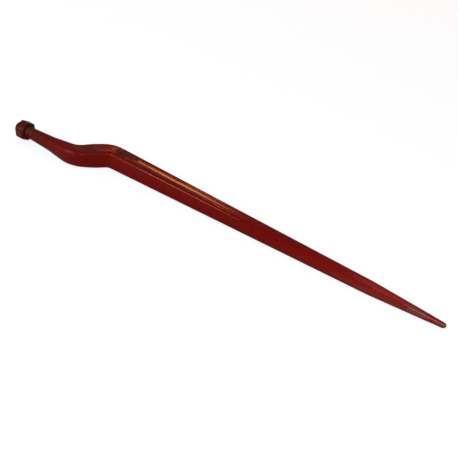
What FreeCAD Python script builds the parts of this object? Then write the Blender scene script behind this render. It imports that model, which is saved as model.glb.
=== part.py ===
import FreeCAD, Part
import math
import os
import re
import Sketcher

# A cranked loader tine: one steel forging with a hexagon nut on its threaded end.
# The origin lies on the shank's axis, where its conical seat begins at the small end.
# X runs along the shank towards the point, Z is up, and the crank lies in the XY plane,
# because a cranked tine laid on the ground rests on its side.

# Driving sizes, in millimetres and degrees.
SIZES = (
    ("overall_length", 820),
    ("thread_diameter", 22),
    ("thread_stub", 7),
    ("thread_bare", 11),
    ("thread_chamfer", 1.5),
    ("relief_depth", 0.8),
    ("relief_length", 4),
    ("cone_small_diameter", 22),
    ("cone_large_diameter", 26.4),
    ("cone_length", 42),
    ("shoulder_length", 14),
    ("shoulder_section", 28.2),
    ("shoulder_edge_radius", 12),
    ("neck_length", 25),
    ("neck_section", 30.8),
    ("neck_edge_radius", 9),
    ("crank_offset", 48.6),
    ("crank_angle", 49.7),
    ("first_bend_radius", 38),
    ("second_bend_radius", 26),
    ("crank_section", 35),
    ("bar_section", 34.2),
    ("edge_radius", 6.8),
    ("flute_depth", 1.4),
    ("flute_entry", 34),
    ("flute_even", 104),
    ("plain_length", 162),
    ("point_length", 122),
    ("point_section", 19.7),
    ("point_edge_radius", 5.9),
    ("tip_diameter", 9.5),
    ("nut_height", 18),
    ("nut_across_flats", 32),
    ("nut_corner_cut", 0.3),
    ("nut_face_ratio", 0.91),
    ("nut_bevel_angle", 30),
    ("nut_turn", 61),
    ("nut_clearance", 0.05),
    ("nut_countersink", 1.2),
)

# Places and lengths that follow from the driving sizes.
DERIVED = (
    ("relief_start", "=-relief_length"),
    ("relief_radius", "=thread_diameter / 2 - relief_depth"),
    ("cone_step", "=cone_small_diameter / 2 - relief_radius"),
    ("nut_start", "=relief_start - thread_bare - nut_height"),
    ("thread_end", "=nut_start - thread_stub"),
    ("shoulder_end", "=cone_length + shoulder_length"),
    ("bend_start", "=shoulder_end + neck_length"),
    ("first_setback", "=first_bend_radius * tan(crank_angle / 2)"),
    ("second_setback", "=second_bend_radius * tan(crank_angle / 2)"),
    ("crank_straight", "=crank_offset / sin(crank_angle) - first_setback - second_setback"),
    ("bend_end_along", "=bend_start + first_bend_radius * sin(crank_angle)"),
    ("bend_end_across", "=first_bend_radius * (1 - cos(crank_angle))"),
    ("middle_along", "=bend_end_along + crank_straight / 2 * cos(crank_angle)"),
    ("middle_across", "=bend_end_across + crank_straight / 2 * sin(crank_angle)"),
    ("crank_end_along", "=bend_end_along + crank_straight * cos(crank_angle)"),
    ("crank_end_across", "=bend_end_across + crank_straight * sin(crank_angle)"),
    ("bar_start", "=crank_end_along + second_bend_radius * sin(crank_angle)"),
    ("second_bend_centre", "=crank_offset - second_bend_radius"),
    ("tip_end", "=thread_end + overall_length"),
    ("point_start", "=tip_end - point_length"),
    ("dome_start", "=tip_end - tip_diameter / 2"),
    ("flute_full", "=bar_start + flute_entry"),
    ("flute_fading", "=flute_full + flute_even"),
    ("flute_end", "=point_start - plain_length"),
    ("bar_taper", "=(bar_section - point_section) / (point_start - bar_start)"),
    ("edge_taper", "=(edge_radius - point_edge_radius) / (point_start - bar_start)"),
    ("nut_sharp_radius", "=nut_across_flats / 2 / cos(30)"),
    ("nut_corner_radius", "=nut_sharp_radius - nut_corner_cut"),
    ("nut_face_radius", "=nut_across_flats / 2 * nut_face_ratio"),
    ("nut_bevel_depth", "=(nut_corner_radius - nut_face_radius) * tan(nut_bevel_angle)"),
    ("nut_bore_radius", "=thread_diameter / 2 + nut_clearance"),
)

X_AXIS = FreeCAD.Vector(1, 0, 0)
Y_AXIS = FreeCAD.Vector(0, 1, 0)
Z_AXIS = FreeCAD.Vector(0, 0, 1)

# A sketch knows its own origin as the first point of its first axis.
ORIGIN = (-1, 1)

QUARTERS = range(4)
QUARTER_ANGLE = 90
OCTANT_ANGLE = 45
HEXAGON_ANGLES = range(30, 390, 60)
LEAST_CUT_VOLUME = 1


def make_sheet(doc):
    """Keeps the driving sizes, then what follows from them, in one sheet with a name for each."""
    sheet = doc.addObject("Spreadsheet::Sheet", "Sizes")
    for row, (alias, content) in enumerate(SIZES + DERIVED, start=1):
        sheet.set(f"A{row}", alias)
        sheet.set(f"B{row}", str(content))
        sheet.setAlias(f"B{row}", alias)
    doc.recompute()
    return sheet


def of_sheet(formula):
    """Turns a formula of plain names into an expression that reads them from the sheet."""
    names = dict(SIZES + DERIVED)
    return re.sub("[a-z_]+", lambda word: f"Sizes.{word[0]}" if word[0] in names else word[0], formula)


def origin_plane(body, role):
    """One of the body's own origin planes."""
    return next(feature for feature in body.Origin.OriginFeatures if feature.Role == role)


def new_sketch(body, name, role):
    """A sketch that lies on one of the body's origin planes."""
    sketch = body.newObject("Sketcher::SketchObject", name)
    sketch.AttachmentSupport = (origin_plane(body, role), "")
    sketch.MapMode = "FlatFace"
    return sketch


def number(sketch, formula):
    """The value that a formula has now."""
    return float(sketch.evalExpression(of_sheet(formula)))


def constrain(sketch, name, formula, *constraint):
    """Adds one named constraint whose size is a formula of the sheet's names."""
    index = sketch.addConstraint(Sketcher.Constraint(*constraint, number(sketch, formula)))
    sketch.renameConstraint(index, name)
    sketch.setExpression(f"Constraints.{name}", of_sheet(formula))


def arc(centre, radius, start, end):
    """An arc about a point of the sketch, anticlockwise between two angles in degrees."""
    circle = Part.Circle(FreeCAD.Vector(*centre), Z_AXIS, radius)
    return Part.ArcOfCircle(circle, math.radians(start), math.radians(end))


def polar(angle, along, across=0.0):
    """The point that lies so far along a direction, and so far across it to the left."""
    turn = math.radians(angle)
    u = along * math.cos(turn) - across * math.sin(turn)
    v = along * math.sin(turn) + across * math.cos(turn)
    return FreeCAD.Vector(u, v, 0)


def station_sketch(body, name, along, across="0", turn="0"):
    """An empty section sketch, square to the centreline at a place along and across the shank."""
    sketch = new_sketch(body, name, "YZ_Plane")
    sketch.AttachmentOffset = FreeCAD.Placement(FreeCAD.Vector(), FreeCAD.Rotation(Y_AXIS, 90))
    sketch.setExpression("AttachmentOffset.Base.z", of_sheet(along))
    sketch.setExpression("AttachmentOffset.Base.x", of_sheet(across))
    sketch.setExpression("AttachmentOffset.Rotation.Angle", of_sheet(turn))
    return sketch


def corner_rounds(sketch, half, corner, lean):
    """Four corner arcs, set evenly about the origin. Each runs past its quarter by the lean."""
    centre = number(sketch, f"{half} - {corner}")
    radius = number(sketch, corner)
    rounds = []
    for quarter in QUARTERS:
        middle = QUARTER_ANGLE * quarter + OCTANT_ANGLE
        place = polar(middle, centre * math.sqrt(2))
        reach = OCTANT_ANGLE + lean
        rounds.append(sketch.addGeometry(arc(place, radius, middle - reach, middle + reach)))
    first, second, third, fourth = rounds
    for other in (second, third, fourth):
        sketch.addConstraint(Sketcher.Constraint("Equal", first, other))
    sketch.addConstraint(Sketcher.Constraint("Horizontal", first, 3, second, 3))
    sketch.addConstraint(Sketcher.Constraint("Vertical", first, 3, fourth, 3))
    sketch.addConstraint(Sketcher.Constraint("Symmetric", first, 3, third, 3, *ORIGIN))
    sketch.addConstraint(Sketcher.Constraint("Symmetric", second, 3, fourth, 3, *ORIGIN))
    constrain(sketch, "edge_round", corner, "Radius", first)
    constrain(sketch, "round_across", f"{half} - {corner}", "DistanceX", *ORIGIN, first, 3)
    constrain(sketch, "round_up", f"{half} - {corner}", "DistanceY", *ORIGIN, first, 3)
    return rounds


def join_tangent(sketch, rounds, sides, side_first, side_last):
    """Joins each side to the corner rounds before and after it, smoothly."""
    for quarter in QUARTERS:
        side, before, after = sides[quarter], rounds[quarter - 1], rounds[quarter]
        sketch.addConstraint(Sketcher.Constraint("Tangent", before, 2, side, side_first))
        sketch.addConstraint(Sketcher.Constraint("Tangent", side, side_last, after, 1))


def square_section(sketch, half, corner):
    """A square section with rounded corners and flat sides."""
    rounds = corner_rounds(sketch, half, corner, 0)
    face, reach = number(sketch, half), number(sketch, f"{half} - {corner}")
    sides = []
    for quarter in QUARTERS:
        facing = QUARTER_ANGLE * quarter
        ends = polar(facing, face, -reach), polar(facing, face, reach)
        sides.append(sketch.addGeometry(Part.LineSegment(*ends)))
    join_tangent(sketch, rounds, sides, 1, 2)
    return sketch


def fluted_section(sketch, half, corner, flute):
    """A square section whose sides sink in a shallow flute between ridged corners.

    Each flute is an arc that touches both corner rounds, so its radius follows from its depth.
    """
    reach, depth = number(sketch, f"{half} - {corner}"), number(sketch, flute)
    curve = f"( ( {half} - {corner} ) ^ 2 + {flute} ^ 2 ) / ( 2 * {flute} ) - {corner}"
    radius = number(sketch, curve)
    lean = math.degrees(math.asin(reach / (radius + number(sketch, corner))))
    rounds = corner_rounds(sketch, half, corner, lean)
    centre = number(sketch, half) - depth + radius
    sides = []
    for quarter in QUARTERS:
        facing = QUARTER_ANGLE * quarter
        inward = facing + 2 * QUARTER_ANGLE
        hollow = arc(polar(facing, centre), radius, inward - lean, inward + lean)
        sides.append(sketch.addGeometry(hollow))
    join_tangent(sketch, rounds, sides, 2, 1)
    for other in sides[1:]:
        sketch.addConstraint(Sketcher.Constraint("Equal", sides[0], other))
    constrain(sketch, "flute_curve", curve, "Radius", sides[0])
    return sketch


def round_section(sketch, radius):
    """A round section in eight arcs, so that it blends evenly into a section with corners."""
    size = number(sketch, radius)
    arcs = []
    for octant in range(8):
        start = OCTANT_ANGLE * (octant - 0.5)
        arcs.append(sketch.addGeometry(arc((0, 0, 0), size, start, start + OCTANT_ANGLE)))
    for before, after in zip(arcs, arcs[1:]):
        sketch.addConstraint(Sketcher.Constraint("Coincident", before, 2, after, 1))
    for piece in arcs:
        sketch.addConstraint(Sketcher.Constraint("Coincident", piece, 3, *ORIGIN))
        sketch.addConstraint(Sketcher.Constraint("Angle", piece, math.radians(OCTANT_ANGLE)))
    top = arcs[2]
    sketch.addConstraint(Sketcher.Constraint("Horizontal", top, 1, top, 2))
    constrain(sketch, "round_radius", radius, "Radius", arcs[0])
    return sketch


def outline(sketch, corners):
    """A closed outline of straight edges, each corner tied to two formulas of the sheet."""
    points = [FreeCAD.Vector(number(sketch, u), number(sketch, v), 0) for u, v in corners]
    edges = []
    for start, end in zip(points, points[1:] + points[:1]):
        edges.append(sketch.addGeometry(Part.LineSegment(start, end)))
    for edge, following in zip(edges, edges[1:] + edges[:1]):
        sketch.addConstraint(Sketcher.Constraint("Coincident", edge, 2, following, 1))
    for edge, (u, v) in zip(edges, corners):
        constrain(sketch, f"along_{edge}", u, "DistanceX", *ORIGIN, edge, 1)
        constrain(sketch, f"across_{edge}", v, "DistanceY", *ORIGIN, edge, 1)
    return sketch


def turned(body, kind, name, sketch):
    """Turns an outline fully about the shank's axis, to add it or to cut it away."""
    feature = body.newObject(f"PartDesign::{kind}", name)
    feature.Profile = sketch
    feature.ReferenceAxis = (sketch, ["H_Axis"])
    feature.Angle = 360
    return feature


def loft(body, name, sections):
    """A solid with straight runs from each section to the next."""
    feature = body.newObject("PartDesign::AdditiveLoft", name)
    feature.Profile = sections[0]
    feature.Sections = sections[1:]
    feature.Ruled = True
    return feature


def swept(body, name, profile, far_section, path):
    """Carries a section along a path, while it grows into the far section."""
    feature = body.newObject("PartDesign::AdditivePipe", name)
    feature.Profile = profile
    feature.Spine = (path, [f"Edge{index + 1}" for index in range(len(path.Geometry))])
    feature.Sections = [far_section]
    feature.Mode = "Frenet"
    feature.Transformation = "Multisection"
    return feature


def shank(body):
    """The turned end of the forging: thread, relief groove and conical seat."""
    sketch = new_sketch(body, "shank_outline", "XY_Plane")
    outline(sketch, (
        ("thread_end", "0"),
        ("thread_end", "thread_diameter / 2 - thread_chamfer"),
        ("thread_end + thread_chamfer", "thread_diameter / 2"),
        ("relief_start", "thread_diameter / 2"),
        ("relief_start + relief_depth", "relief_radius"),
        ("-cone_step", "relief_radius"),
        ("0", "cone_small_diameter / 2"),
        ("cone_length", "cone_large_diameter / 2"),
        ("cone_length", "0"),
    ))
    turned(body, "Revolution", "shank", sketch)


def first_bend_path(body):
    """The centreline of the first bend and of the first half of the crank."""
    sketch = new_sketch(body, "first_bend_path", "XY_Plane")
    radius, angle = number(sketch, "first_bend_radius"), number(sketch, "crank_angle")
    start = number(sketch, "bend_start")
    bend = sketch.addGeometry(arc((start, radius, 0), radius, -90, angle - 90))
    along, across = number(sketch, "bend_end_along"), number(sketch, "bend_end_across")
    corner = FreeCAD.Vector(along, across, 0)
    run = polar(angle, number(sketch, "crank_straight") / 2)
    line = sketch.addGeometry(Part.LineSegment(corner, corner + run))
    sketch.addConstraint(Sketcher.Constraint("Tangent", bend, 2, line, 1))
    constrain(sketch, "bend_radius", "first_bend_radius", "Radius", bend)
    constrain(sketch, "centre_along", "bend_start", "DistanceX", *ORIGIN, bend, 3)
    sketch.addConstraint(Sketcher.Constraint("Horizontal", *ORIGIN, bend, 1))
    sketch.addConstraint(Sketcher.Constraint("Vertical", bend, 3, bend, 1))
    constrain(sketch, "end_along", "middle_along", "DistanceX", *ORIGIN, line, 2)
    constrain(sketch, "end_across", "middle_across", "DistanceY", *ORIGIN, line, 2)
    return sketch


def second_bend_path(body):
    """The centreline of the second half of the crank and of the second bend."""
    sketch = new_sketch(body, "second_bend_path", "XY_Plane")
    radius, angle = number(sketch, "second_bend_radius"), number(sketch, "crank_angle")
    middle = number(sketch, "middle_along"), number(sketch, "middle_across")
    corner = number(sketch, "crank_end_along"), number(sketch, "crank_end_across")
    ends = FreeCAD.Vector(*middle, 0), FreeCAD.Vector(*corner, 0)
    line = sketch.addGeometry(Part.LineSegment(*ends))
    centre = (number(sketch, "bar_start"), number(sketch, "second_bend_centre"), 0)
    bend = sketch.addGeometry(arc(centre, radius, 90, 90 + angle))
    sketch.addConstraint(Sketcher.Constraint("Tangent", line, 2, bend, 2))
    constrain(sketch, "bend_radius", "second_bend_radius", "Radius", bend)
    constrain(sketch, "centre_along", "bar_start", "DistanceX", *ORIGIN, bend, 3)
    constrain(sketch, "centre_across", "second_bend_centre", "DistanceY", *ORIGIN, bend, 3)
    sketch.addConstraint(Sketcher.Constraint("Vertical", bend, 3, bend, 1))
    constrain(sketch, "start_along", "middle_along", "DistanceX", *ORIGIN, line, 1)
    constrain(sketch, "start_across", "middle_across", "DistanceY", *ORIGIN, line, 1)
    return sketch


def crank(body):
    """The neck that turns from round to square, and the double bend."""
    seat = station_sketch(body, "cone_end_section", "cone_length")
    round_section(seat, "cone_large_diameter / 2")
    shoulder = station_sketch(body, "shoulder_end_section", "shoulder_end")
    square_section(shoulder, "shoulder_section / 2", "shoulder_edge_radius")
    neck = station_sketch(body, "bend_start_section", "bend_start")
    square_section(neck, "neck_section / 2", "neck_edge_radius")
    middle = station_sketch(
        body, "crank_middle_section", "middle_along", "middle_across", "crank_angle")
    square_section(middle, "crank_section / 2", "edge_radius")
    bar_root = station_sketch(body, "bar_start_section", "bar_start", "crank_offset")
    square_section(bar_root, "bar_section / 2", "edge_radius")
    loft(body, "neck", [seat, shoulder, neck])
    swept(body, "first_bend", neck, middle, first_bend_path(body))
    swept(body, "second_bend", middle, bar_root, second_bend_path(body))
    return bar_root


def bar_half(place):
    """Half the bar's section at a place along it, where the bar tapers evenly."""
    return f"( bar_section - bar_taper * ( {place} - bar_start ) ) / 2"


def bar_edge(place):
    """The bar's corner radius at a place along it."""
    return f"( edge_radius - edge_taper * ( {place} - bar_start ) )"


def bar(body, root):
    """The tapered working length, fluted along its first part, and its drawn-out point."""
    sections = [root]
    for name, place, fluted in (
        ("flute_full_section", "flute_full", True),
        ("flute_fading_section", "flute_fading", True),
        ("flute_end_section", "flute_end", False),
        ("point_start_section", "point_start", False),
    ):
        sketch = station_sketch(body, name, place, "crank_offset")
        if fluted:
            fluted_section(sketch, bar_half(place), bar_edge(place), "flute_depth")
        else:
            square_section(sketch, bar_half(place), bar_edge(place))
        sections.append(sketch)
    loft(body, "bar", sections)
    end = station_sketch(body, "tip_section", "dome_start", "crank_offset")
    round_section(end, "tip_diameter / 2")
    loft(body, "point", [sections[-1], end])
    dome = body.newObject("PartDesign::AdditiveSphere", "tip")
    dome.AttachmentSupport = (origin_plane(body, "YZ_Plane"), "")
    dome.MapMode = "FlatFace"
    dome.setExpression("Radius", of_sheet("tip_diameter / 2"))
    dome.setExpression("AttachmentOffset.Base.z", of_sheet("dome_start"))
    dome.setExpression("AttachmentOffset.Base.x", of_sheet("crank_offset"))


def make_tine(doc):
    """The forging, from the threaded end to the point."""
    body = doc.addObject("PartDesign::Body", "tine")
    body.Label = "tine"
    shank(body)
    root = crank(body)
    bar(body, root)
    return body


def make_nut(doc):
    """The hexagon nut, bevelled at both ends, with a plain bore in place of its thread."""
    body = doc.addObject("PartDesign::Body", "hex_nut")
    body.Label = "hex_nut"
    body.Placement = FreeCAD.Placement(FreeCAD.Vector(), FreeCAD.Rotation(X_AXIS, 90))
    body.setExpression("Placement.Base.x", of_sheet("nut_start"))
    body.setExpression("Placement.Rotation.Angle", of_sheet("nut_turn"))
    hexagon = new_sketch(body, "hexagon", "YZ_Plane")
    outline(hexagon, [
        (f"nut_sharp_radius * cos({angle})", f"nut_sharp_radius * sin({angle})")
        for angle in HEXAGON_ANGLES
    ])
    blank = body.newObject("PartDesign::Pad", "blank")
    blank.Profile = hexagon
    blank.setExpression("Length", of_sheet("nut_height"))
    corners = new_sketch(body, "corner_outline", "XY_Plane")
    outline(corners, (
        ("0", "nut_face_radius"),
        ("nut_bevel_depth", "nut_corner_radius"),
        ("nut_height - nut_bevel_depth", "nut_corner_radius"),
        ("nut_height", "nut_face_radius"),
        ("nut_height", "nut_across_flats"),
        ("0", "nut_across_flats"),
    ))
    turned(body, "Groove", "corners", corners)
    bore = new_sketch(body, "bore_outline", "XY_Plane")
    outline(bore, (
        ("0", "0"),
        ("0", "nut_bore_radius + nut_countersink"),
        ("nut_countersink", "nut_bore_radius"),
        ("nut_height - nut_countersink", "nut_bore_radius"),
        ("nut_height", "nut_bore_radius + nut_countersink"),
        ("nut_height", "0"),
    ))
    turned(body, "Groove", "bore", bore)
    return body


def check(doc, bodies):
    """Stops where a feature failed, a cut removed nothing or a piece is not one sound solid."""
    for feature in doc.Objects:
        if "Invalid" in feature.State or "Error" in feature.State:
            raise RuntimeError(f"{feature.Name} failed: {feature.State}")
        if feature.TypeId == "PartDesign::Groove":
            before = feature.BaseFeature.Shape.Volume
            if feature.Shape.Volume > before - LEAST_CUT_VOLUME:
                raise RuntimeError(f"{feature.Name} cuts nothing")
    for body in bodies:
        if body.Shape.isNull() or not body.Shape.isValid() or len(body.Shape.Solids) != 1:
            raise RuntimeError(f"{body.Label} is not one sound solid")
        print(body.Label, "volume", round(body.Shape.Volume), "mm3")


def main():
    doc = FreeCAD.newDocument("loader_tine")
    make_sheet(doc)
    bodies = [make_tine(doc), make_nut(doc)]
    doc.recompute()
    check(doc, bodies)
    os.makedirs("parts", exist_ok=True)
    for body in bodies:
        body.Shape.exportStep(f"parts/{body.Label}.step")


main()
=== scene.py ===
# %% [markdown]
# # A painted loader tine
#
# A loader tine is a steel spike that a farm loader pushes under bales and into manure. This one is
# forged from square bar, cranked near its fixing end, drawn to a blunt point, and held in the
# loader by a nut on its threaded end. The imported model already holds its real sizes, so it is
# loaded first as a fixed frame. The ends of the tine and of the nut are read from its boxes.
# Nothing that is added may leave it.

# %% Load the frame
import bmesh
import bpy
import math
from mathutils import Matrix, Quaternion, Vector


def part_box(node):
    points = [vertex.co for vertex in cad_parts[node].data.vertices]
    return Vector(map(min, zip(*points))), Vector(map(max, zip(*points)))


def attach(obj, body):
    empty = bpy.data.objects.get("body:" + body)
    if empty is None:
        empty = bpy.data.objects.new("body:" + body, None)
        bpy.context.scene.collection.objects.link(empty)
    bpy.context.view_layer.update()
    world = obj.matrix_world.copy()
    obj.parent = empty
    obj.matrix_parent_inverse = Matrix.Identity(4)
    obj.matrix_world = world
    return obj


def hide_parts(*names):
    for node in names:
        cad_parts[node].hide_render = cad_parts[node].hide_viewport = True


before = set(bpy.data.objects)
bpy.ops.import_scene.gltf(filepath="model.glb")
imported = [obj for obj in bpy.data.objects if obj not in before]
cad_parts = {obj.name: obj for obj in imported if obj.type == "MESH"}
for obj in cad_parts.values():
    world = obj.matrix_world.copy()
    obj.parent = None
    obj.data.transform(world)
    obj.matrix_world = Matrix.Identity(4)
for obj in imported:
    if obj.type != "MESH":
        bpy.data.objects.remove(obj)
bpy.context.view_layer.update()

# %% [markdown]
# ## Sizes
#
# Blender works in metres and a workshop thinks in millimetres, so every size is written as
# millimetres times MM. The ends of the tine and of the nut are read from the frame. The others are
# the forging's own: its offset, its bends, and the sizes of its sections.

# %% Sizes of the tine
MM = 0.001

tine_low, tine_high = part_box("tine")
nut_low, nut_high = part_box("hex_nut")
THREAD_END = tine_low.x
TIP_END = tine_high.x
CRANK_OFFSET = 48.6 * MM
CRANK_ANGLE = math.radians(49.7)
BEND_START = 81 * MM
FIRST_BEND_RADIUS = 38 * MM
SECOND_BEND_RADIUS = 26 * MM

# %% [markdown]
# ## The centreline
#
# A forging like this is easiest to think of as a straight bar that was bent afterwards. Everything
# is placed by its distance along the bar's middle, from the threaded end: straight along the shank,
# round the first bend, straight along the crank, round the second bend, and straight to the point.
# One function turns such a distance into a place and the angle to which the bar has turned there.

# %% Centreline
bend_start = BEND_START - THREAD_END
bend_end = bend_start + FIRST_BEND_RADIUS * CRANK_ANGLE
setbacks = (FIRST_BEND_RADIUS + SECOND_BEND_RADIUS) * math.tan(CRANK_ANGLE / 2)
crank_straight = CRANK_OFFSET / math.sin(CRANK_ANGLE) - setbacks
second_bend = bend_end + crank_straight
bar_start = second_bend + SECOND_BEND_RADIUS * CRANK_ANGLE
bends_along = (FIRST_BEND_RADIUS + SECOND_BEND_RADIUS) * math.sin(CRANK_ANGLE)
bar_start_along = BEND_START + bends_along + crank_straight * math.cos(CRANK_ANGLE)
line_length = bar_start + TIP_END - bar_start_along


def within(value, low, high):
    """The value, held between two limits."""
    return min(max(value, low), high)


def centreline(distance):
    """The place and the turn of the bar's middle at a distance from the thread's end."""
    first = within((distance - bend_start) / FIRST_BEND_RADIUS, 0, CRANK_ANGLE)
    crank = within(distance - bend_end, 0, crank_straight)
    second = within((distance - second_bend) / SECOND_BEND_RADIUS, 0, CRANK_ANGLE)
    along = THREAD_END + within(distance, 0, bend_start) + max(distance - bar_start, 0)
    along += FIRST_BEND_RADIUS * math.sin(first) + crank * math.cos(CRANK_ANGLE)
    along += SECOND_BEND_RADIUS * (math.sin(CRANK_ANGLE) - math.sin(CRANK_ANGLE - second))
    across = FIRST_BEND_RADIUS * (1 - math.cos(first)) + crank * math.sin(CRANK_ANGLE)
    across += SECOND_BEND_RADIUS * (math.cos(CRANK_ANGLE - second) - math.cos(CRANK_ANGLE))
    return Vector((along, across, 0)), first - second


print("centreline", round(line_length / MM), "mm, bar starts at", round(bar_start / MM), "mm")

# %% [markdown]
# ## Where the section changes
#
# Cut across, the bar is a square with rounded corners. Along its first part the four sides are
# hollowed in shallow flutes, which leave a ridge at each corner and save steel. Near the nut the
# bar is round. A smith changes the section evenly between a few places, so a short table is enough:
# the distance, half the width, the radius of the corners, and the depth of the flutes.

# %% Section table
CONE_SMALL_RADIUS = 11 * MM
CONE_LARGE_RADIUS = 13.2 * MM
CONE_END = 42 * MM
SHOULDER_END = 56 * MM
SHOULDER_HALF = 14.1 * MM
SHOULDER_CORNER = 12 * MM
BEND_HALF = 15.4 * MM
BEND_CORNER = 9 * MM
CRANK_HALF = 17.5 * MM
BAR_HALF = 17.1 * MM
POINT_HALF = 9.85 * MM
BAR_CORNER = 6.8 * MM
POINT_CORNER = 5.9 * MM
TIP_RADIUS = 4.75 * MM
FLUTE_DEPTH = 1.4 * MM
FLUTE_ENTRY = 34 * MM
FLUTE_EVEN = 104 * MM
PLAIN_LENGTH = 162 * MM
POINT_LENGTH = 122 * MM

cone_end = CONE_END - THREAD_END
crank_middle = (bend_end + second_bend) / 2
flute_full = bar_start + FLUTE_ENTRY
flute_fading = flute_full + FLUTE_EVEN
point_start = line_length - POINT_LENGTH
flute_end = point_start - PLAIN_LENGTH
dome_start = line_length - TIP_RADIUS


def bar_row(distance, flute):
    """A row of the table for the bar, which tapers evenly from the crank to the point."""
    share = (distance - bar_start) / (point_start - bar_start)
    half = BAR_HALF + (POINT_HALF - BAR_HALF) * share
    corner = BAR_CORNER + (POINT_CORNER - BAR_CORNER) * share
    return distance, half, corner, flute


# Each row has its distance, half width, corner radius and flute depth.
section_table = [
    (SHOULDER_END - THREAD_END, SHOULDER_HALF, SHOULDER_CORNER, 0),
    (bend_start, BEND_HALF, BEND_CORNER, 0),
    (crank_middle, CRANK_HALF, BAR_CORNER, 0),
    bar_row(bar_start, 0),
    bar_row(flute_full, FLUTE_DEPTH),
    bar_row(flute_fading, FLUTE_DEPTH),
    bar_row(flute_end, 0),
    bar_row(point_start, 0),
    (dome_start, TIP_RADIUS, TIP_RADIUS, 0),
]


def sizes_at(distance):
    """Half width, corner radius and flute depth at a distance, evenly between the table's rows."""
    for before, after in zip(section_table, section_table[1:]):
        if distance <= after[0]:
            break
    share = (distance - before[0]) / (after[0] - before[0])
    return [low + (high - low) * share for low, high in zip(before[1:], after[1:])]


# %% [markdown]
# ## One section
#
# A section is a loop of 32 points. It starts as a plane, set square to the centreline. Its four
# corners are rounded with Bevel, its four sides are cut into four by Subdivide, and the middle
# points of the sides are scaled towards the centre where there is a flute. Only the outline stays.
# Where the bar is round the loop is a circle with as many points, so that all the loops match.

# %% Section loops
LOOP_POINTS = 32
CORNER_SEGMENTS = LOOP_POINTS // 8
# Lengths below this one count as none.
NO_LENGTH = 0.01 * MM
# A section whose sides have less than this left between their corners is round.
SHORTEST_SIDE = 1 * MM
# How deep the flute is at shares of the way from a side's middle to its rounded corner.
FLUTE_PROFILE = ((0, 1), (0.5, 0.75), (1, 0.18))


def deselect_all():
    """Operators act on all that is selected, so nothing is left selected before one."""
    bpy.ops.object.select_all(action="DESELECT")


def select_where(piece, kind, test):
    """In edit mode, selects the points, edges or faces for which a test holds."""
    bpy.ops.mesh.select_mode(type={"verts": "VERT", "edges": "EDGE", "faces": "FACE"}[kind])
    bpy.ops.mesh.select_all(action="DESELECT")
    edit = bmesh.from_edit_mesh(piece.data)
    for item in getattr(edit, kind):
        item.select_set(test(item))
    edit.select_flush_mode()
    bmesh.update_edit_mesh(piece.data)


def is_straight_side(edge):
    """Whether an edge runs along a side of the square, not round a corner."""
    gap = edge.verts[0].co - edge.verts[1].co
    return min(abs(gap.x), abs(gap.y)) < NO_LENGTH


def hollow_sides(loop, place, half, reach, flute):
    """Scales the middle points of the sides inwards, and the points further out less."""
    for share, depth in FLUTE_PROFILE:
        def is_hollowed(point):
            ends = sorted((abs(point.co.x), abs(point.co.y)))
            return abs(ends[0] - share * reach) < 10 * NO_LENGTH and ends[1] > half - NO_LENGTH

        select_where(loop, "verts", is_hollowed)
        shrink = 1 - depth * flute / half
        bpy.ops.transform.resize(value=(shrink, shrink, shrink), center_override=place)


def add_section(distance, half, corner, flute):
    """A loop with the bar's outline at one distance, square to the centreline."""
    place, turn = centreline(distance)
    facing = (0, math.pi / 2, turn)
    deselect_all()
    if half - corner < SHORTEST_SIDE:
        bpy.ops.mesh.primitive_circle_add(
            vertices=LOOP_POINTS, radius=half, location=place, rotation=facing)
        return bpy.context.active_object
    bpy.ops.mesh.primitive_plane_add(size=2 * half, location=place, rotation=facing)
    loop = bpy.context.active_object
    bpy.ops.object.mode_set(mode="EDIT")
    bpy.ops.mesh.select_all(action="SELECT")
    bpy.ops.mesh.bevel(offset=corner, segments=CORNER_SEGMENTS, affect="VERTICES")
    select_where(loop, "edges", is_straight_side)
    bpy.ops.mesh.subdivide(number_cuts=CORNER_SEGMENTS - 1)
    bpy.ops.mesh.select_all(action="SELECT")
    bpy.ops.mesh.delete(type="ONLY_FACE")
    if flute > NO_LENGTH:
        hollow_sides(loop, place, half, half - corner, flute)
    bpy.ops.object.mode_set(mode="OBJECT")
    return loop


# %% [markdown]
# ## The forging
#
# The loops stand along the centreline as ribs stand in a boat: close together round the bends and
# at the blunt end, further apart on the straight bar. Bridge Edge Loops skins them, each to the
# next. The last loop is drawn out to the tip and merged there into one point, so that the skin is
# closed. A Subdivision Surface then rounds the skin between the loops, as a hammer leaves it.

# %% Loop places
SHANK_STEP = 7 * MM
BEND_STEP = 4.6 * MM
BAR_STEP = 9 * MM
POINT_STEP = 7 * MM
# The steps end this much before the dome, which has loops at latitudes in degrees.
DOME_GAP = 2 * MM
DOME_LATITUDES = (0, 35, 62)
# The smoothing pulls a round loop in by this share, so the first loop starts wider.
ROUND_PULL = (2 + math.cos(2 * math.pi / LOOP_POINTS)) / 3
# It also widens the corners, so they start tighter by this share.
CORNER_SHARE = 0.94


def steps_between(start, end, step):
    """Even places from a start up to an end, no further apart than a step."""
    count = math.ceil((end - start) / step)
    return [start + (end - start) * index / count for index in range(count)]


loop_places = steps_between(SHOULDER_END - THREAD_END, bend_start, SHANK_STEP)
loop_places += steps_between(bend_start, bar_start, BEND_STEP)
loop_places += steps_between(bar_start, point_start, BAR_STEP)
loop_places += steps_between(point_start, dome_start - DOME_GAP, POINT_STEP)
loops = [add_section(cone_end, CONE_LARGE_RADIUS / ROUND_PULL, CONE_LARGE_RADIUS, 0)]
for place in loop_places:
    half, corner, flute = sizes_at(place)
    loops.append(add_section(place, half, corner * CORNER_SHARE, flute))
for latitude in DOME_LATITUDES:
    lift = math.radians(latitude)
    radius = TIP_RADIUS * math.cos(lift)
    loops.append(add_section(dome_start + TIP_RADIUS * math.sin(lift), radius, radius, 0))
print(len(loops), "loops along", round((line_length - cone_end) / MM), "mm")

# %% Skin
# The smoothing pulls the tip in, so it is drawn out further than the dome by this factor.
TIP_STRETCH = 1.1

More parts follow.
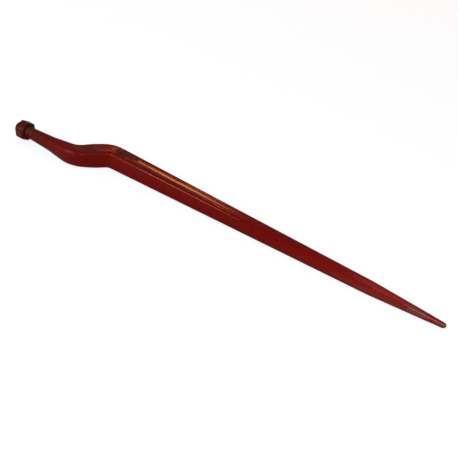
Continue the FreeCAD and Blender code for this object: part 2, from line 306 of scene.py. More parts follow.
last_rise = math.sin(math.radians(DOME_LATITUDES[-1]))
tip_reach = TIP_RADIUS * (1 - last_rise) * TIP_STRETCH


def join(pieces, name):
    """Joins objects into one, with its place in its mesh."""
    deselect_all()
    for piece in pieces:
        piece.select_set(True)
    bpy.context.view_layer.objects.active = pieces[0]
    bpy.ops.object.join()
    bpy.ops.object.transform_apply(location=True, rotation=True, scale=True)
    pieces[0].name = name
    return pieces[0]


def make_active(piece):
    """Makes one object the only selected and active one."""
    deselect_all()
    piece.select_set(True)
    bpy.context.view_layer.objects.active = piece


last_loop = centreline(dome_start + TIP_RADIUS * last_rise)[0].x
tine = join(loops, "painted_tine")
bpy.ops.object.mode_set(mode="EDIT")
bpy.ops.mesh.select_mode(type="EDGE")
bpy.ops.mesh.select_all(action="SELECT")
bpy.ops.mesh.bridge_edge_loops(type="SINGLE")
select_where(tine, "edges", lambda edge: min(v.co.x for v in edge.verts) > last_loop - NO_LENGTH)
bpy.ops.mesh.extrude_region_move(TRANSFORM_OT_translate={"value": (tip_reach, 0, 0)})
bpy.ops.mesh.merge(type="CENTER")
bpy.ops.mesh.select_all(action="SELECT")
bpy.ops.mesh.normals_make_consistent(inside=False)
bpy.ops.object.mode_set(mode="OBJECT")
print("skinned with", len(tine.data.polygons), "faces")

# %% Smooth the skin
SMOOTHING_LEVELS = 2


def apply_subdivision(piece, levels):
    """Rounds a piece with a Subdivision Surface and keeps the result."""
    make_active(piece)
    bpy.ops.object.modifier_add(type="SUBSURF")
    rounder = piece.modifiers[-1]
    rounder.levels = levels
    rounder.render_levels = levels
    bpy.ops.object.modifier_apply(modifier=rounder.name)


apply_subdivision(tine, SMOOTHING_LEVELS)
print("smoothed to", len(tine.data.polygons), "faces")

# %% [markdown]
# ## Hammer marks
#
# Hammered steel is never quite true. A Displace modifier with a soft cloud pulls the forged skin in
# by up to a tenth of a millimetre, and a second, finer cloud leaves the grain of the scale. Their
# middle level is set high, so that they pull inwards nearly everywhere and the bar stays inside its
# real size. A vertex group keeps them off the end where the turned seat begins, and lets them grow
# from there.

# %% Forged skin
FORGED_FROM = CONE_END + 4 * MM
FORGED_FADE = 20 * MM
WAVE_SIZE, WAVE_DEPTH = 24 * MM, 0.13 * MM
SCALE_SIZE, SCALE_DEPTH = 4.5 * MM, 0.012 * MM
MIDDLE_LEVEL = 0.62


def dent(piece, name, size, depth, group):
    """Moves a skin by a cloud of a given size: in where the cloud is below the middle level."""
    make_active(piece)
    cloud = bpy.data.textures.new(name, "CLOUDS")
    cloud.noise_scale = size
    cloud.noise_depth = 2
    bpy.ops.object.modifier_add(type="DISPLACE")
    skin = piece.modifiers[-1]
    skin.texture = cloud
    skin.texture_coords = "LOCAL"
    skin.mid_level = MIDDLE_LEVEL
    skin.strength = depth
    skin.vertex_group = group
    bpy.ops.object.modifier_apply(modifier=skin.name)


forged = tine.vertex_groups.new(name="forged")
for point in tine.data.vertices:
    weight = within((point.co.x - FORGED_FROM) / FORGED_FADE, 0, 1)
    forged.add([point.index], weight, "REPLACE")
dent(tine, "hammer_waves", WAVE_SIZE, WAVE_DEPTH, forged.name)
dent(tine, "scale_grain", SCALE_SIZE, SCALE_DEPTH, forged.name)
print("hammered", [round(length / MM, 1) for length in tine.dimensions])

# %% [markdown]
# ## The thread
#
# An M22 thread with a fine pitch of 1.5 mm holds the nut. One tooth is drawn as a line of four
# strokes, root, flank, crest and flank, by extruding a single point. The Screw modifier winds that
# line round the shank, right-handed, one pitch each turn. A plain bar with a chamfered end is cut
# by this screw with a Boolean that keeps what both share, so the thread ends as a die leaves it.

# %% Thread
THREAD_RADIUS = 11 * MM
THREAD_PITCH = 1.5 * MM
THREAD_DEPTH = 0.75 * MM
THREAD_CREST = THREAD_PITCH / 8
THREAD_CHAMFER = 1.5 * MM
THREAD_STOP = -4 * MM
FLANK_ANGLE = math.radians(30)
SCREW_STEPS = 48
SPARE_TURNS = 2
TURNED_SIDES = 96


def keep_cut(piece, tool, operation):
    """Cuts a piece with a tool by a Boolean, and removes the tool."""
    make_active(piece)
    bpy.ops.object.modifier_add(type="BOOLEAN")
    cut = piece.modifiers[-1]
    cut.operation = operation
    cut.object = tool
    cut.solver = "EXACT"
    bpy.ops.object.modifier_apply(modifier=cut.name)
    bpy.data.objects.remove(tool)


def add_tooth():
    """The outline of one tooth, from root to root, a few spare turns before the shank's end."""
    start = (THREAD_END - SPARE_TURNS * THREAD_PITCH, 0, THREAD_RADIUS - THREAD_DEPTH)
    flank = THREAD_DEPTH * math.tan(FLANK_ANGLE)
    root = THREAD_PITCH - THREAD_CREST - 2 * flank
    deselect_all()
    bpy.ops.mesh.primitive_plane_add(size=1 * MM, location=start)
    tooth = bpy.context.active_object
    bpy.ops.object.transform_apply(location=True, rotation=True, scale=True)
    bpy.ops.object.mode_set(mode="EDIT")
    bpy.ops.mesh.select_mode(type="VERT")
    bpy.ops.mesh.select_all(action="SELECT")
    bpy.ops.mesh.merge(type="CENTER")
    strokes = ((root, 0), (flank, THREAD_DEPTH), (THREAD_CREST, 0), (flank, -THREAD_DEPTH))
    for along, out in strokes:
        bpy.ops.mesh.extrude_vertices_move(TRANSFORM_OT_translate={"value": (along, 0, out)})
    bpy.ops.object.mode_set(mode="OBJECT")
    return tooth


def wind(tooth, turns):
    """Winds the tooth round the shank and closes both ends."""
    make_active(tooth)
    bpy.ops.object.modifier_add(type="SCREW")
    screw = tooth.modifiers[-1]
    screw.axis = "X"
    screw.screw_offset = THREAD_PITCH
    screw.iterations = turns
    screw.steps = SCREW_STEPS
    screw.render_steps = SCREW_STEPS
    bpy.ops.object.modifier_apply(modifier=screw.name)
    bpy.ops.object.mode_set(mode="EDIT")
    bpy.ops.mesh.select_all(action="SELECT")
    bpy.ops.mesh.remove_doubles(threshold=2 * NO_LENGTH)
    bpy.ops.mesh.fill_holes(sides=0)
    bpy.ops.mesh.select_all(action="SELECT")
    bpy.ops.mesh.normals_make_consistent(inside=False)
    bpy.ops.object.mode_set(mode="OBJECT")


def add_round(name, sides, radius, start, end, turn=0.0):
    """A cylinder about the shank's axis, from one place along it to another."""
    deselect_all()
    bpy.ops.mesh.primitive_cylinder_add(
        vertices=sides, radius=radius, depth=end - start,
        location=((start + end) / 2, 0, 0), rotation=(0, math.pi / 2, 0))
    piece = bpy.context.active_object
    piece.name = name
    bpy.ops.transform.rotate(value=-turn, orient_axis="X", center_override=piece.location)
    bpy.ops.object.transform_apply(location=True, rotation=True, scale=True)
    return piece


thread = add_round("thread", TURNED_SIDES, THREAD_RADIUS - NO_LENGTH, THREAD_END, THREAD_STOP)
bpy.ops.object.mode_set(mode="EDIT")
select_where(
    thread, "edges", lambda edge: max(v.co.x for v in edge.verts) < THREAD_END + NO_LENGTH)
bpy.ops.mesh.bevel(offset=THREAD_CHAMFER, segments=1, affect="EDGES")
bpy.ops.object.mode_set(mode="OBJECT")
thread_turns = math.ceil((THREAD_STOP - THREAD_END) / THREAD_PITCH)
tooth = add_tooth()
wind(tooth, thread_turns + 2 * SPARE_TURNS)
keep_cut(thread, tooth, "INTERSECT")
print("thread with", len(thread.data.polygons), "faces,", thread_turns, "turns")

# %% [markdown]
# ## The turned seat
#
# Behind the thread a groove lets the die run out, and then the shank grows in an even cone that is
# pulled tight into a bush of the loader. Both were turned on a lathe, so they are made as on one: a
# short cylinder, with its end face extruded and scaled from each diameter to the next. A Boolean
# unites it with the thread in the groove. Its open end is then bridged to the forging.

# %% Seat
SEAT_SIDES = LOOP_POINTS * 4
RELIEF_RADIUS = 10.2 * MM
RELIEF_STEP = 0.8 * MM
SEAT_OVERLAP = 2 * MM
SEAT_GAP = 1.5 * MM
# A face looks along the shank when its normal does so by more than this.
FACING = 0.9


def extend(axis_step, from_radius, to_radius):
    """Extrudes the selected end face along the shank and scales it to a new radius."""
    bpy.ops.mesh.extrude_region_move(TRANSFORM_OT_translate={"value": (axis_step, 0, 0)})
    scale = to_radius / from_radius
    bpy.ops.transform.resize(value=(1, scale, scale))


seat_end_radius = CONE_LARGE_RADIUS - (
    (CONE_LARGE_RADIUS - CONE_SMALL_RADIUS) * SEAT_GAP / CONE_END)
seat = add_round("seat", SEAT_SIDES, RELIEF_RADIUS, THREAD_STOP - SEAT_OVERLAP, -RELIEF_STEP)
bpy.ops.object.mode_set(mode="EDIT")
select_where(seat, "faces", lambda face: face.normal.x > FACING)
extend(RELIEF_STEP, RELIEF_RADIUS, CONE_SMALL_RADIUS)
extend(CONE_END - SEAT_GAP, CONE_SMALL_RADIUS, seat_end_radius)
bpy.ops.object.mode_set(mode="OBJECT")
keep_cut(seat, thread, "UNION")
bpy.ops.object.mode_set(mode="EDIT")
select_where(seat, "faces", lambda face: (
    face.normal.x > FACING and face.calc_center_median().x > CONE_END / 2))
bpy.ops.mesh.delete(type="ONLY_FACE")
bpy.ops.object.mode_set(mode="OBJECT")
print("seat and thread with", len(seat.data.polygons), "faces")

# %% Seat to forging
TINE_SHADED_ANGLE = math.radians(35)

tine = join([tine, seat], "painted_tine")
bpy.ops.object.mode_set(mode="EDIT")
select_where(tine, "edges", lambda edge: edge.is_boundary)
bpy.ops.mesh.bridge_edge_loops(type="SINGLE")
bpy.ops.mesh.select_all(action="SELECT")
bpy.ops.mesh.normals_make_consistent(inside=False)
bpy.ops.object.mode_set(mode="OBJECT")
bpy.ops.object.shade_smooth_by_angle(angle=TINE_SHADED_ANGLE)
print("tine with", len(tine.data.polygons), "faces")
print("tine's box in mm", [round(length / MM, 2) for length in tine.dimensions])

# %% [markdown]
# ## The nut
#
# The corners of a forged nut are turned off at 30 degrees at both ends, which leaves the curved
# edges that every nut has. They come from cutting a hexagon by the shape that the lathe leaves, so
# a six-sided and a round cylinder are made, and a Boolean keeps what they share. The bore is cut in
# the same way, and a small Bevel breaks the edges, as paint and handling do.

# %% Nut sizes
NUT_ACROSS_FLATS = 32 * MM
NUT_TURN = math.radians(31)
NUT_FACE_RADIUS = 14.56 * MM
NUT_CORNER_CUT = 0.31 * MM
NUT_BEVEL_ANGLE = math.radians(30)
NUT_BORE_RADIUS = 11.05 * MM
NUT_COUNTERSINK = 1.2 * MM

nut_sharp_radius = NUT_ACROSS_FLATS / 2 / math.cos(math.pi / 6)
nut_corner_radius = nut_sharp_radius - NUT_CORNER_CUT
nut_bevel_depth = (nut_corner_radius - NUT_FACE_RADIUS) * math.tan(NUT_BEVEL_ANGLE)
nut_start, nut_end = nut_low.x, nut_high.x
print("nut", round((nut_end - nut_start) / MM, 2), "mm high")
print("nut's corners at", round(nut_corner_radius / MM, 2), "mm")


# %% Nut body
def taper_ends(piece, from_radius, to_radius, depth):
    """Extends a round cylinder at both ends to another radius."""
    make_active(piece)
    bpy.ops.object.mode_set(mode="EDIT")
    for side in (-1, 1):
        select_where(piece, "faces", lambda face: face.normal.x * side > FACING)
        extend(side * depth, from_radius, to_radius)
    bpy.ops.object.mode_set(mode="OBJECT")


nut = add_round("painted_nut", 6, nut_sharp_radius, nut_start, nut_end, NUT_TURN)
lathe = add_round("lathe_shape", TURNED_SIDES, nut_corner_radius,
                  nut_start + nut_bevel_depth, nut_end - nut_bevel_depth)
taper_ends(lathe, nut_corner_radius, NUT_FACE_RADIUS, nut_bevel_depth)
keep_cut(nut, lathe, "INTERSECT")
bore = add_round("bore_shape", TURNED_SIDES, NUT_BORE_RADIUS,
                 nut_start + NUT_COUNTERSINK, nut_end - NUT_COUNTERSINK)
taper_ends(bore, NUT_BORE_RADIUS, NUT_BORE_RADIUS + NUT_COUNTERSINK, NUT_COUNTERSINK)
keep_cut(nut, bore, "DIFFERENCE")

# %% Broken edges of the nut
BROKEN_EDGE = 0.4 * MM
SHARP_ANGLE = math.radians(25)
NUT_SHADED_ANGLE = math.radians(40)

bpy.ops.object.modifier_add(type="BEVEL")
worn_edges = nut.modifiers[-1]
worn_edges.width = BROKEN_EDGE
worn_edges.segments = 3
worn_edges.limit_method = "ANGLE"
worn_edges.angle_limit = SHARP_ANGLE
bpy.ops.object.modifier_apply(modifier=worn_edges.name)
bpy.ops.object.shade_smooth_by_angle(angle=NUT_SHADED_ANGLE)
print("nut with", len(nut.data.polygons), "faces")
print("nut's box in mm", [round(length / MM, 2) for length in nut.dimensions])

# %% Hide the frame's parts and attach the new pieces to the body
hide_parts("tine")
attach(tine, "root")
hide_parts("hex_nut")
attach(nut, "root")

# %% [markdown]
# ## Shader groups
#
# The tine and its nut were painted together, so their finishes share effects: mottled paint,
# patches of dirt or thin paint, ridges that were rubbed, and the uneven skin of a forging. Each
# effect is a node group, built once, and every material gives it its own values. Small helpers add
# the nodes.

# %% Node helpers
def wire(tree, socket, value):
    """Gives an input a value, or a link when the value comes from another node."""
    if isinstance(value, bpy.types.NodeSocket):
        tree.links.new(value, socket)
    else:
        socket.default_value = value


def add_node(tree, kind, wires=None, **settings):
    """Adds a node, sets its properties and wires its inputs."""
    node = tree.nodes.new("ShaderNode" + kind)
    for name, value in settings.items():
        setattr(node, name, value)
    for socket, value in (wires or {}).items():
        wire(tree, node.inputs[socket], value)
    return node


def calculate(tree, operation, first, second, clamp=False):
    """The result of arithmetic on two values."""
    node = add_node(tree, "Math", {0: first, 1: second}, operation=operation, use_clamp=clamp)
    return node.outputs[0]


def rise(tree, value, low, high, start=0.0, end=1.0):
    """A value that goes smoothly from a start to an end while another passes two limits."""
    node = add_node(tree, "MapRange", {
        "Value": value, "From Min": low, "From Max": high, "To Min": start, "To Max": end},
        interpolation_type="SMOOTHSTEP")
    return node.outputs["Result"]


def blend_colors(tree, share, first, second, blend_type="MIX"):
    """Mixes two colours by a share."""
    node = add_node(tree, "Mix", data_type="RGBA", blend_type=blend_type)
    for index, value in ((0, share), (6, first), (7, second)):
        wire(tree, node.inputs[index], value)
    return node.outputs[2]


def start_group(name, inputs, outputs):
    """A new shader group, with its named inputs and the node for its results."""
    group = bpy.data.node_groups.new(name, "ShaderNodeTree")
    for in_out, sockets in (("INPUT", inputs), ("OUTPUT", outputs)):
        for title, kind in sockets:
            group.interface.new_socket(title, in_out=in_out, socket_type="NodeSocket" + kind)
    return group, group.nodes.new("NodeGroupInput").outputs, group.nodes.new("NodeGroupOutput")


def use_group(tree, group, **wires):
    """Places a group in a material, and gives back its outputs."""
    node = add_node(tree, "Group", node_tree=group)
    for title, value in wires.items():
        wire(tree, node.inputs[title.replace("_", " ")], value)
    return node.outputs


# %% [markdown]
# ## Mottled paint
#
# Dipped paint is never one colour. It is deeper where it pooled, and brown where it is thin or has
# dust and oil on it. A large noise, drawn out along the bar, decides where the brown comes through,
# and a small noise makes the red a little lighter or deeper. The brown is duller than the red, so
# the group also gives a roughness.

# %% Mottled paint group
# Brown shows where the noise passes a limit, less the share of brown, and is full a border later.
BROWN_LIMIT = 0.86
BROWN_BORDER = 0.3

mottle, given, result = start_group(
    "mottled_paint",
    [("Place", "Vector"), ("Patch Size", "Float"), ("Brown Share", "Float"), ("Red", "Color"),
     ("Brown", "Color"), ("Gloss Roughness", "Float"), ("Dull Roughness", "Float")],
    [("Color", "Color"), ("Roughness", "Float")])
drawn_out = add_node(mottle, "Mapping", {"Vector": given["Place"], "Scale": (0.35, 1, 1)})
patches = add_node(mottle, "TexNoise", {
    "Vector": drawn_out.outputs[0], "Scale": given["Patch Size"], "Detail": 4.0, "Roughness": 0.6})
brown_from = calculate(mottle, "SUBTRACT", BROWN_LIMIT, given["Brown Share"])
brown_to = calculate(mottle, "ADD", brown_from, BROWN_BORDER)
brown_here = rise(mottle, patches.outputs["Fac"], brown_from, brown_to)
speckle = add_node(mottle, "TexNoise", {
    "Vector": given["Place"], "Scale": 420.0, "Detail": 3.0, "Roughness": 0.55})
depth_of_red = rise(mottle, speckle.outputs["Fac"], 0.3, 0.7, 0.84, 1.16)
lively_red = blend_colors(mottle, 1.0, given["Red"], depth_of_red, "MULTIPLY")
wire(mottle, result.inputs["Color"], blend_colors(mottle, brown_here, lively_red, given["Brown"]))
wire(mottle, result.inputs["Roughness"], rise(
    mottle, brown_here, 0, 1, given["Gloss Roughness"], given["Dull Roughness"]))
print("group", mottle.name, "with", len(mottle.nodes), "nodes")

# %% [markdown]
# ## Patches
#
# A patch is an egg-shaped region around a place on the piece. Inside it the mask is 1, outside it
# is 0, and noise breaks its border, so that it looks like dirt, rust or paint that was knocked off.
# Some patches use it to paint light and shade.

# %% Patch group
# A patch fades in between these two distances from its centre, measured in its own reaches.
PATCH_OUTSIDE = 1.15
PATCH_INSIDE = 0.55

patch, given, result = start_group(
    "patch",
    [("Place", "Vector"), ("Centre", "Vector"), ("Reach", "Vector"), ("Grain Size", "Float"),
     ("Raggedness", "Float")],
    [("Mask", "Float")])
from_centre = add_node(patch, "VectorMath", {0: given["Place"], 1: given["Centre"]},
                       operation="SUBTRACT")
in_reaches = add_node(patch, "VectorMath", {0: from_centre.outputs[0], 1: given["Reach"]},
                      operation="DIVIDE")
distance = add_node(patch, "VectorMath", {0: in_reaches.outputs[0]}, operation="LENGTH")
grain = add_node(patch, "TexNoise", {
    "Vector": given["Place"], "Scale": given["Grain Size"], "Detail": 3.0, "Roughness": 0.6})
centred = calculate(patch, "SUBTRACT", grain.outputs["Fac"], 0.5)
ragged = calculate(patch, "MULTIPLY", centred, given["Raggedness"])
wire(patch, result.inputs["Mask"], rise(
    patch, calculate(patch, "ADD", distance.outputs["Value"], ragged), PATCH_OUTSIDE, PATCH_INSIDE))
print("group", patch.name, "with", len(patch.nodes), "nodes")

# %% [markdown]
# ## Rubbed ridges
#
# Where a ridge rubs on other steel the paint turns pale and thin. Both pieces carry an attribute
# called ridge, which is 1 on their edges and 0 on their flats. The group takes it with an amount,
# breaks it up with noise, and gives a mask, so that the rubbing comes and goes along an edge.

# %% Rubbed ridge group
# The rubbing starts where the ridge and the noise add up to the first, and is full at the second.
RUBBED_FROM = 0.85
RUBBED_FULL = 1.25

rubbing, given, result = start_group(
    "rubbed_ridge",
    [("Place", "Vector"), ("Ridge", "Float"), ("Amount", "Float"), ("Grain Size", "Float")],
    [("Mask", "Float")])
grain = add_node(rubbing, "TexNoise", {
    "Vector": given["Place"], "Scale": given["Grain Size"], "Detail": 4.0, "Roughness": 0.65})
raised = calculate(rubbing, "MULTIPLY", given["Ridge"], given["Amount"])
wire(rubbing, result.inputs["Mask"], rise(
    rubbing, calculate(rubbing, "ADD", raised, grain.outputs["Fac"]), RUBBED_FROM, RUBBED_FULL))
print("group", rubbing.name, "with", len(rubbing.nodes), "nodes")

# %% [markdown]
# ## Forged skin
#
# The skin of hot steel is left uneven by the scale that falls off it. Two noises give its height: a
# coarse one of shallow dents a centimetre apart, and a fine one like the pores of the paint. The
# group gives the height only, and each material turns it into a bump of its own depth.

# %% Forged skin group
skin, given, result = start_group(
    "forged_skin",
    [("Place", "Vector"), ("Dent Size", "Float"), ("Pore Size", "Float"), ("Pore Share", "Float")],
    [("Height", "Float")])
dents = add_node(skin, "TexNoise", {
    "Vector": given["Place"], "Scale": given["Dent Size"], "Detail": 2.0, "Roughness": 0.5})
pores = add_node(skin, "TexNoise", {
    "Vector": given["Place"], "Scale": given["Pore Size"], "Detail": 3.0, "Roughness": 0.6})
height = add_node(skin, "Mix", {
    0: given["Pore Share"], 2: dents.outputs["Fac"], 3: pores.outputs["Fac"]})
wire(skin, result.inputs["Height"], height.outputs[0])
print("group", skin.name, "with", len(skin.nodes), "nodes")

# %% [markdown]
# ## Where the ridges are
#
# The ridge attribute is worked out from the shapes. On the bar a point is on a ridge when it is as
# far from the bar's middle across as it is up. On the nut it is on an edge when it is further from
# the axis than the flats are. The materials then read the attribute of the piece that they are on.

# %% Ridge attribute
BAR_FROM, BAR_TO = 100 * MM, 125 * MM
RIDGE_WIDTH = 0.42
LEAST_REACH = 1 * MM
NUT_RIDGE_FROM = 16.9 * MM
NUT_RIDGE_WIDTH = 1.1 * MM


def store_ridge(piece, closeness):
    """Stores how close each point is to an edge that gets rubbed, from 0 to 1."""
    stored = piece.data.attributes.new("ridge", "FLOAT", "POINT")
    for point, item in zip(piece.data.vertices, stored.data):
        item.value = within(closeness(point.co), 0, 1)


def bar_ridge(place):
    """1 on the four long ridges of the bar, 0 on its sides and before it starts."""
    across, up = abs(place.y - CRANK_OFFSET), abs(place.z)
    reach = max(across, up, LEAST_REACH)
    on_bar = within((place.x - BAR_FROM) / (BAR_TO - BAR_FROM), 0, 1)
    return on_bar * (1 - abs(across - up) / reach / RIDGE_WIDTH)


def nut_ridge(place):
    """1 on the corners of the nut, 0 on its flats and its bore."""
    return (math.hypot(place.y, place.z) - NUT_RIDGE_FROM) / NUT_RIDGE_WIDTH


store_ridge(tine, bar_ridge)
store_ridge(nut, nut_ridge)
print("ridges stored on", tine.name, "and", nut.name)

# %% [markdown]
# ## The painted forging
#
# Dark red paint, glossy where it is whole. The shank was handled and oiled, so it is browner. Past
# the middle the colour grows paler and brighter: painted light, for the stronger light on the outer
# bar. Near the point the ridges are rubbed pink and the very end is brown from use. The zones
# follow X of the Object coordinates, which runs along the shank. Patches add brown on the top of
# the shank, a dark spot on the second bend and bare steel on the end of the thread. Other patches
# paint light and shade: painted shade on the front of the crank, which turns away from the light,
# a painted orange highlight on the second bend, and painted shade on dull paint along both sides
# of the top flute's highlight. The gloss of this paint looks warm, so the shader's reflections are
# tinted.

# %% Start of a paint
SPECULAR_LEVEL = 0.6
SPECULAR_TINT = (1, 0.22, 0.09, 1)
PATCH_GRAIN = 180.0
PATCH_RAGGEDNESS = 1.6


def start_paint(name, bump_depth):
    """A material, its node tree and shader, Object coordinates, the ridge attribute and a bump."""
    material = bpy.data.materials.new(name)
    material.use_nodes = True
    tree = material.node_tree
    shader = tree.nodes["Principled BSDF"]
    shader.inputs["Specular IOR Level"].default_value = SPECULAR_LEVEL
    shader.inputs["Specular Tint"].default_value = SPECULAR_TINT
    place = tree.nodes.new("ShaderNodeTexCoord").outputs["Object"]
    ridge = add_node(tree, "Attribute", attribute_name="ridge").outputs["Fac"]
    bump = add_node(tree, "Bump", {"Strength": 1.0, "Distance": bump_depth})
    wire(tree, shader.inputs["Normal"], bump.outputs["Normal"])
    return material, tree, shader, place, ridge, bump


def add_patch(tree, place, centre, reach, share):
    """The mask of a patch at a place given in millimetres, as strong as its share."""
    mask = use_group(
        tree, patch, Place=place, Centre=Vector(centre) * MM, Reach=Vector(reach) * MM,
        Grain_Size=PATCH_GRAIN, Raggedness=PATCH_RAGGEDNESS)["Mask"]
    return calculate(tree, "MULTIPLY", mask, share)


def lay_patches(tree, place, color, roughness, table):
    """Lays patches over a paint, and gives the new colour, the new roughness and the last mask."""
    for centre, reach, patch_color, patch_roughness, share in table:
        mask = add_patch(tree, place, centre, reach, share)
        color = blend_colors(tree, mask, color, patch_color)
        roughness = add_node(tree, "Mix", {0: mask, 2: roughness, 3: patch_roughness}).outputs[0]
    return color, roughness, mask


# %% Patches of the forging
# Each patch has its centre and reaches in millimetres, its colour, its roughness and its share.
PATCHES = [
    # Dirt and oil on the shank
    ((-8, -4, 8), (9, 12, 9), (0.1, 0.034, 0.02, 1), 0.4, 0.9),
    ((4, -3, 12), (8, 8, 7), (0.05, 0.015, 0.004, 1), 0.5, 0.7),
    ((20, 3, 16), (34, 14, 12), (0.055, 0.013, 0.004, 1), 0.5, 0.6),
    ((30, -9, -1), (22, 6, 7), (0.055, 0.014, 0.004, 1), 0.5, 0.7),
    # Painted shade on the crank, which turns away from the light, brown on its top, and dull edges
    ((100, 22, 0), (32, 36, 24), (0.1, 0.003, 0.006, 1), 0.5, 0.85),
    ((106, 15, 17), (20, 11, 5), (0.06, 0.013, 0.003, 1), 0.45, 0.55),
    ((127, 11, 14), (26, 26, 8), (0.1, 0.004, 0.006, 1), 0.65, 0.85),
    ((99, -13, 12), (16, 9, 7), (0.15, 0.01, 0.01, 1), 0.42, 0.8),
    # A painted orange highlight, brown and a dark spot on the second bend
    ((147.5, 48.5, 17), (7, 5, 6), (0.32, 0.07, 0.022, 1), 0.45, 1.0),
    ((173, 50, 17), (29, 13, 7), (0.1, 0.003, 0.001, 1), 0.75, 0.82),
    ((163, 44, 17), (9, 7, 7), (0.045, 0.013, 0.002, 1), 0.8, 0.85),
    # Painted shade on dull paint along both sides of the top flute's highlight
    ((285, 60, 16), (170, 5, 5), (0.08, 0.004, 0.002, 1), 0.8, 0.85),
    ((285, 38.8, 16), (160, 4.4, 4), (0.11, 0.002, 0.001, 1), 0.85, 0.95),
    # Red that was worn on one ridge near the point, and browned at the point itself
    ((690, 39, 0), (110, 5, 6), (0.2, 0.022, 0.015, 1), 0.3, 0.9),
    ((685, 46, 9), (70, 8, 5), (0.33, 0.026, 0.026, 1), 0.3, 0.75),
    ((735, 44, 3), (20, 6, 7), (0.17, 0.055, 0.035, 1), 0.4, 0.75),
    ((745, 55, 7), (60, 5, 6), (0.08, 0.008, 0.006, 1), 0.4, 0.9),
    ((779, 48.6, 2), (24, 14, 14), (0.13, 0.036, 0.028, 1), 0.4, 0.75),
    # Bare steel on the end of the thread
    ((-42, 0, 0), (5.5, 14, 14), (0.05, 0.042, 0.04, 1), 0.5, 1.0),
]

# %% Painted forging
FORGING_BUMP = 0.07 * MM
BARE_METALLIC = 0.6
DARK_RED = (0.172, 0.0022, 0.0016, 1)
THIN_BROWN = (0.1, 0.014, 0.003, 1)
RUBBED_RED = (0.24, 0.035, 0.03, 1)
RUBBED_PINK = (0.4, 0.15, 0.12, 1)
# Factors on the paint's colour, where it was handled, where it is as new, and near the point.
HANDLED = (0.72, 0.85, 0.7, 1)
UNCHANGED = (1, 1, 1, 1)
# Near the point this factor brightens the colour: painted light, for the stronger light there.
PAINTED_LIGHT_FACTOR = (1.25, 2.8, 3.2, 1)
# Each zone goes from one look to the next between two places along the tine.
HANDLED_ZONE = 20 * MM, 66 * MM
BROWN_ZONE = 70 * MM, 150 * MM
PAINTED_LIGHT_ZONE = 430 * MM, 660 * MM
RUBBED_ZONE = 650 * MM, 755 * MM
PINK_ZONE = 690 * MM, 750 * MM

forging_paint, tree, shader, place, ridge, bump = start_paint(
    "dark_red_forging_paint", FORGING_BUMP)
along = add_node(tree, "SeparateXYZ", {0: place}).outputs["X"]
paint = use_group(
    tree, mottle, Place=place, Patch_Size=52.0,
    Brown_Share=rise(tree, along, *BROWN_ZONE, 0.3, 0.16),
    Red=DARK_RED, Brown=THIN_BROWN, Gloss_Roughness=0.15, Dull_Roughness=0.32)
handled = blend_colors(tree, rise(tree, along, *HANDLED_ZONE), HANDLED, UNCHANGED)
# Painted light: the colour brightens towards the point.
painted_light = blend_colors(tree, rise(tree, along, *PAINTED_LIGHT_ZONE), handled, PAINTED_LIGHT_FACTOR)
color = blend_colors(tree, 1.0, paint["Color"], painted_light, "MULTIPLY")
rubbed = use_group(
    tree, rubbing, Place=place, Ridge=ridge, Grain_Size=160.0,
    Amount=rise(tree, along, *RUBBED_ZONE, 0.11, 0.85))
rubbed_color = blend_colors(tree, rise(tree, along, *PINK_ZONE), RUBBED_RED, RUBBED_PINK)
color, roughness, bare = lay_patches(tree, place, color, paint["Roughness"], PATCHES)
wire(tree, shader.inputs["Base Color"], blend_colors(tree, rubbed["Mask"], color, rubbed_color))
wire(tree, shader.inputs["Roughness"], roughness)
wire(tree, shader.inputs["Metallic"], calculate(tree, "MULTIPLY", bare, BARE_METALLIC))
height = use_group(tree, skin, Place=place, Dent_Size=90.0, Pore_Size=620.0, Pore_Share=0.15)
wire(tree, bump.inputs["Height"], height["Height"])
print("forging paint with", len(tree.nodes), "nodes")

# %% [markdown]
# ## The painted nut
#
# The nut has the same paint, duller and browner, because a spanner and oil have been on it. Its
# corners are rubbed pale. Its patches paint light and shade: a pinker flat is a painted highlight,
# a brighter flat is painted light, and painted shade darkens its top and its face by the shank.

# %% Painted nut
NUT_BUMP = 0.25 * MM
NUT_RED = (0.1, 0.005, 0.005, 1)
NUT_BROWN = (0.045, 0.009, 0.004, 1)
NUT_RUBBED = (0.15, 0.04, 0.036, 1)
# Painted shade on the top and beside the shank, a painted highlight, and a flat in painted light.
NUT_LIGHT_AND_SHADE_PATCHES = [
    ((-16, -3, 16), (8, 8, 6), (0.032, 0.011, 0.005, 1), 0.45, 0.8),
    ((-30, -8, 14), (5, 5, 5), (0.06, 0.005, 0.004, 1), 0.35, 0.8),
    ((-20, -14, 10), (8, 4, 4), (0.12, 0.028, 0.022, 1), 0.45, 0.8),
    ((-26, -16, -2), (6, 5, 6), (0.15, 0.022, 0.014, 1), 0.4, 0.8),
    ((-15, -14, -3), (5, 6, 8), (0.04, 0.01, 0.006, 1), 0.5, 0.7),
]
nut_paint, tree, shader, place, ridge, bump = start_paint("dark_red_nut_paint", NUT_BUMP)
paint = use_group(
    tree, mottle, Place=place, Patch_Size=75.0, Brown_Share=0.45, Red=NUT_RED, Brown=NUT_BROWN,
    Gloss_Roughness=0.28, Dull_Roughness=0.5)
rubbed = use_group(tree, rubbing, Place=place, Ridge=ridge, Amount=0.5, Grain_Size=260.0)
color, roughness, _ = lay_patches(tree, place, paint["Color"], paint["Roughness"], NUT_LIGHT_AND_SHADE_PATCHES)
wire(tree, shader.inputs["Base Color"], blend_colors(tree, rubbed["Mask"], color, NUT_RUBBED))
wire(tree, shader.inputs["Roughness"], roughness)
height = use_group(tree, skin, Place=place, Dent_Size=140.0, Pore_Size=700.0, Pore_Share=0.4)
wire(tree, bump.inputs["Height"], height["Height"])
print("nut paint with", len(tree.nodes), "nodes")

# %% Give the pieces their finish
for piece, finish in ((tine, forging_paint), (nut, nut_paint)):
    piece.data.materials.clear()
    piece.data.materials.append(finish)

